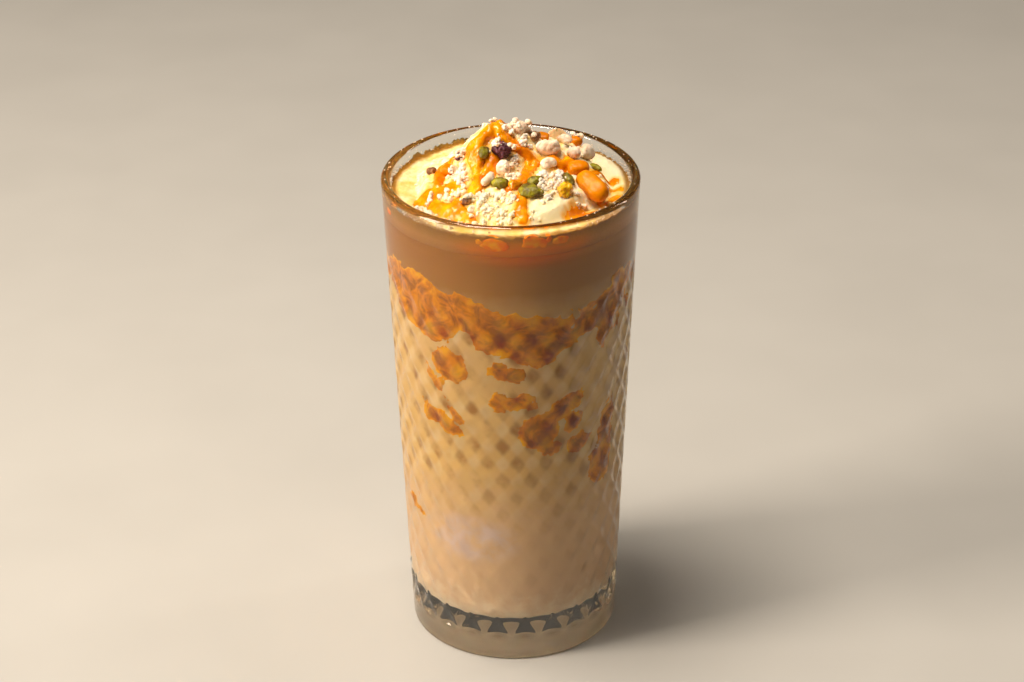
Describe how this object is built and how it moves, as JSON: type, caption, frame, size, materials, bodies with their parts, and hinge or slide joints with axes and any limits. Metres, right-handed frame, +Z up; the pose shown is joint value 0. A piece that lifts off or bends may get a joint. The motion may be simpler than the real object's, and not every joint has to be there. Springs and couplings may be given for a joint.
{
  "type": "falooda in a tall glass",
  "caption": "Layered milk dessert in a tall diamond-cut glass: milk with mango puree on the wall, cream, and a heap of milk crumbs, nuts, raisins and mango with sauce.",
  "frame": {"origin": "middle of the glass's foot, on the surface it stands on", "axes": "+Z up along the glass; -Y is the side that faces the viewer in the picture, +X to that viewer's right"},
  "size_m": [0.076, 0.076, 0.1646],
  "materials": {
    "clear_glass": "clear pressed glass, smooth, with a pattern of hollow diamond cuts",
    "milk": "thick sweet milk seen through the wall, warm beige, wet",
    "mango_puree": "mango puree smeared on the wall, orange, wet, slightly clear at its edges",
    "cream": "thickened cream, pale yellow, soft and fine-grained",
    "crumbs": "heap of cream, milk-solid crumbs and thick mango sauce, uneven",
    "mango": "mango pieces coated in sauce, wet gloss",
    "golden_raisin": "golden raisin, wrinkled, slightly clear",
    "dark_raisin": "dark raisin, wrinkled, dusted with crumbs",
    "pistachio": "chopped pistachio, green with a brown skin",
    "almond": "sliced almond, dull tan",
    "brown_nut": "chopped nut with brown skin",
    "sauced_nut": "chopped nut under mango sauce",
    "milk_crumb": "lump of milk solids, off-white, chalky"
  },
  "bodies": {
    "root": {"almond_slice": "almond", "cream": "cream", "crumb_heap": "crumbs", "glass": "clear_glass", "mango_chunk_1": "mango", "mango_chunk_2": "mango", "mango_chunk_3": "mango", "mango_chunk_4": "mango", "mango_chunk_5": "mango", "milk": "milk", "nugget_1": "milk_crumb", "nugget_2": "milk_crumb", "nugget_3": "milk_crumb", "nugget_4": "milk_crumb", "nugget_5": "milk_crumb", "nugget_6": "milk_crumb", "nugget_7": "milk_crumb", "nugget_8": "milk_crumb", "nut_brown": "brown_nut", "nut_cluster": "brown_nut", "nut_sauced": "sauced_nut", "nut_small": "brown_nut", "pistachio_1": "pistachio", "pistachio_2": "pistachio", "pistachio_3": "pistachio", "pistachio_4": "pistachio", "pistachio_5": "pistachio", "pistachio_6": "pistachio", "puree_band": "mango_puree", "puree_smear_1": "mango_puree", "puree_smear_10": "mango_puree", "puree_smear_2": "mango_puree", "puree_smear_3": "mango_puree", "puree_smear_4": "mango_puree", "puree_smear_5": "mango_puree", "puree_smear_6": "mango_puree", "puree_smear_7": "mango_puree", "puree_smear_8": "mango_puree", "puree_smear_9": "mango_puree", "raisin_dark": "dark_raisin", "raisin_golden": "golden_raisin", "raisin_sliver": "dark_raisin"}
  },
  "joints": []
}
